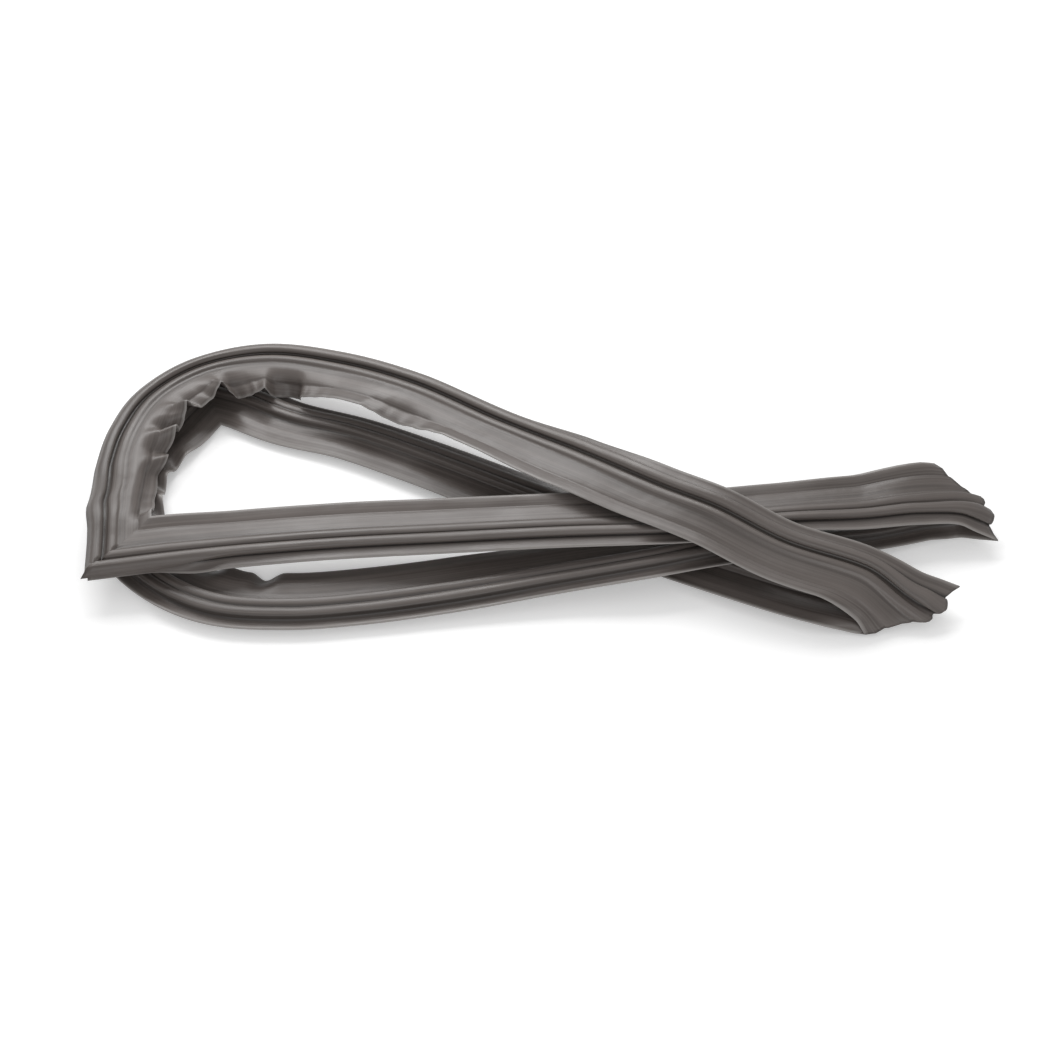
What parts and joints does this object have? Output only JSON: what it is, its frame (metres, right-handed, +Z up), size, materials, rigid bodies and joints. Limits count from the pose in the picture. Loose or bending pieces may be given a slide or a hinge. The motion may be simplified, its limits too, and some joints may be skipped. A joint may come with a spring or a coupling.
{
  "type": "refrigerator door gasket",
  "caption": "Soft grey magnetic door gasket: a welded rectangular ring of ribbed flexible section, folded and crossed over itself for packing.",
  "frame": {"origin": "centre of the bounding box in plan, on the floor it lies on", "axes": "+X along the folded bundle towards its two folded corners, +Y from the front side to the arched side, +Z up"},
  "size_m": [0.5376, 0.2424, 0.0435],
  "materials": {
    "grey_pvc": "smooth satin soft PVC, warm mid grey",
    "brown_ferrite": "matt dark brown flexible magnet"
  },
  "bodies": {
    "root": {"gasket": "grey_pvc", "magnet_arch": "brown_ferrite", "magnet_back": "brown_ferrite", "magnet_front": "brown_ferrite", "magnet_lower": "brown_ferrite"}
  },
  "joints": []
}
